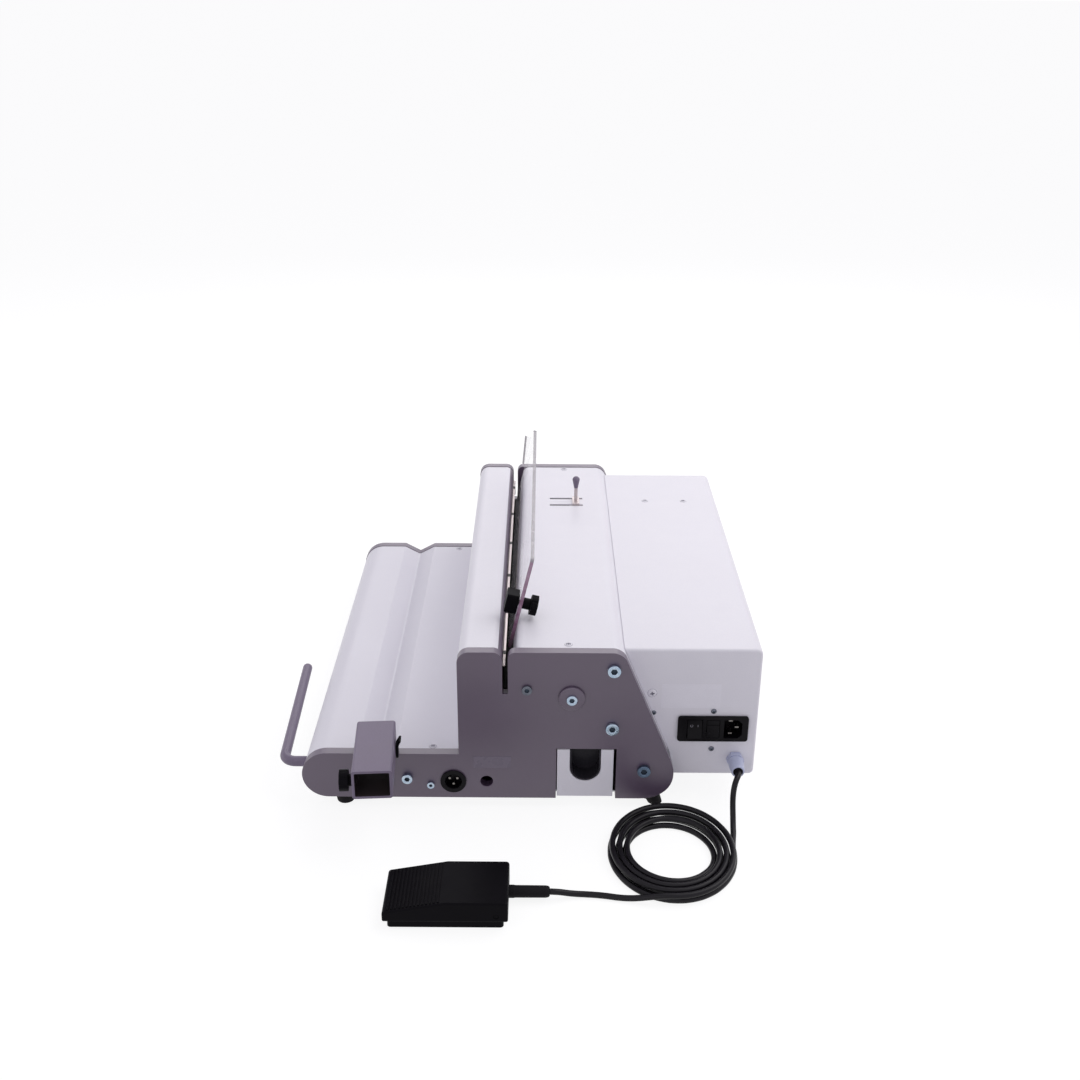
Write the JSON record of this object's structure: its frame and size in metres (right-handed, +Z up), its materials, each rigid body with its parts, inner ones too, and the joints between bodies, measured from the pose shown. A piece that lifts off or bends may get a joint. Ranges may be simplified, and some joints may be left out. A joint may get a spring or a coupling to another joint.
{
  "type": "coil binding machine",
  "caption": "Electric punch for coil-bound books: side plates, grooved table, paper slot and support, rear motor housing, chip drawer and corded foot pedal.",
  "frame": {"origin": "on the surface it stands on, under the middle of the box round the machine and its pedal, without the cord", "axes": "+X along the punching width towards the side with the pedal, +Y from the front table to the motor housing, +Z up"},
  "size_m": [0.6568, 0.4654, 0.2346],
  "materials": {
    "plate_paint": "satin mauve-grey powder coat on thick steel plate",
    "white_paint": "satin white powder coat on bent sheet steel",
    "taupe_paint": "satin taupe powder coat",
    "steel": "ground steel",
    "zinc_steel": "bright zinc-plated steel",
    "dark_steel": "blackened tool steel",
    "black_plastic": "moulded black nylon and ABS",
    "clear_acrylic": "clear acrylic sheet with tinted edges",
    "gland_plastic": "light blue-grey nylon",
    "rubber": "moulded black rubber",
    "cord_jacket": "satin black PVC cord jacket"
  },
  "bodies": {
    "machine_body": {"right_side_plate": "plate_paint", "left_side_plate": "plate_paint", "right_shaft_cap": "plate_paint", "left_shaft_cap": "plate_paint", "front_table_cover": "white_paint", "tower_cover": "white_paint", "rear_cover": "white_paint", "motor_housing": "white_paint", "holder_tube": "taupe_paint", "base_plate": "steel", "paper_guide_strip": "steel", "right_shaft_bearing": "steel", "left_shaft_bearing": "steel", "chip_chute": "steel", "rear_top_tie_rod": "steel", "rear_middle_tie_rod": "steel", "rear_low_tie_rod": "steel", "front_tie_rod": "steel", "rear_top_bolt": "zinc_steel", "rear_middle_bolt": "zinc_steel", "rear_low_bolt": "zinc_steel", "front_bolt": "zinc_steel", "die_screw": "zinc_steel", "nose_screw": "zinc_steel", "inlet_screw_1": "zinc_steel", "inlet_screw_2": "zinc_steel", "die_plate": "dark_steel", "punch_guide_block": "dark_steel", "slot_floor_bar": "dark_steel", "gear_motor": "dark_steel", "holder_clip": "black_plastic", "connector_socket": "black_plastic", "power_inlet": "black_plastic", "pedal_base": "black_plastic", "paper_support": "clear_acrylic", "side_stop": "clear_acrylic", "cable_gland": "gland_plastic", "front_right_foot": "rubber", "front_left_foot": "rubber", "rear_right_foot": "rubber", "rear_left_foot": "rubber", "pedal_strain_relief": "rubber", "cable_drop": "cord_jacket", "cable_coil": "cord_jacket", "cable_lead": "cord_jacket"},
    "punch_drive": {"punch_shaft": "steel", "drive_gear": "dark_steel"},
    "punch_slide": {"punch_bar": "steel"},
    "motor_drive": {"motor_pinion": "steel"},
    "guide_carriage": {"side_guide": "black_plastic"},
    "guide_knob": {"side_guide_knob": "black_plastic"},
    "margin_carriage": {"margin_slider": "steel", "margin_grip": "taupe_paint"},
    "tube_knob": {"holder_knob": "black_plastic"},
    "power_rocker": {"rocker_switch": "black_plastic"},
    "fuse_holder": {"fuse_drawer": "black_plastic"},
    "chip_tray": {"chip_drawer": "white_paint", "drawer_pull_cup": "black_plastic"},
    "lever": {"front_lever": "taupe_paint"},
    "treadle": {"pedal_treadle": "black_plastic"}
  },
  "joints": [
    {"name": "punch_shaft_turn", "type": "hinge", "parent": "machine_body", "child": "punch_drive", "pos_m": [-0.08255, 0.05608, 0.1215], "axis": [1, 0, 0], "range_deg": [0, 57.2]},
    {"name": "punch_bar_slide", "type": "slide", "parent": "machine_body", "child": "punch_slide", "axis": [0, -1, 0], "range_m": [0, 0.01]},
    {"name": "motor_pinion_turn", "type": "hinge", "parent": "machine_body", "child": "motor_drive", "pos_m": [-0.27255, 0.10483, 0.1129], "axis": [1, 0, 0], "range_deg": [-100.3, 0]},
    {"name": "side_guide_slide", "type": "slide", "parent": "machine_body", "child": "guide_carriage", "axis": [1, 0, 0], "range_m": [-0.128, 0]},
    {"name": "side_guide_knob_turn", "type": "hinge", "parent": "guide_carriage", "child": "guide_knob", "pos_m": [0.08745, 0.00718, 0.18405], "axis": [0, 0.9736, -0.2284], "continuous": true},
    {"name": "margin_slide", "type": "slide", "parent": "machine_body", "child": "margin_carriage", "axis": [0, 1, 0], "range_m": [-0.0256, 0.0035]},
    {"name": "holder_knob_turn", "type": "hinge", "parent": "machine_body", "child": "tube_knob", "pos_m": [0.22028, -0.12188, 0.0744], "axis": [0.068, -0.9977, 0], "continuous": true},
    {"name": "rocker_tilt", "type": "hinge", "parent": "machine_body", "child": "power_rocker", "pos_m": [0.13835, 0.17325, 0.0778], "axis": [0, 1, 0], "range_deg": [0, 12]},
    {"name": "fuse_pull", "type": "slide", "parent": "machine_body", "child": "fuse_holder", "axis": [1, 0, 0], "range_m": [0, 0.014]},
    {"name": "chip_drawer_pull", "type": "slide", "parent": "machine_body", "child": "chip_tray", "axis": [1, 0, 0], "range_m": [0, 0.3]},
    {"name": "front_lever_turn", "type": "hinge", "parent": "machine_body", "child": "lever", "pos_m": [0.13445, -0.20325, 0.0345], "axis": [0, 1, 0], "range_deg": [0, 90]},
    {"name": "treadle_press", "type": "hinge", "parent": "machine_body", "child": "treadle", "pos_m": [0.30045, -0.00875, 0.0135], "axis": [1, 0, 0], "range_deg": [0, 3.5], "stiffness_Nm_per_rad": 3, "springref_deg": -2.86}
  ],
  "couplings": [
    {"joint": "punch_bar_slide", "follows": "punch_shaft_turn", "m_per_rad": 0.01},
    {"joint": "motor_pinion_turn", "follows": "punch_shaft_turn", "ratio": -1.75}
  ]
}
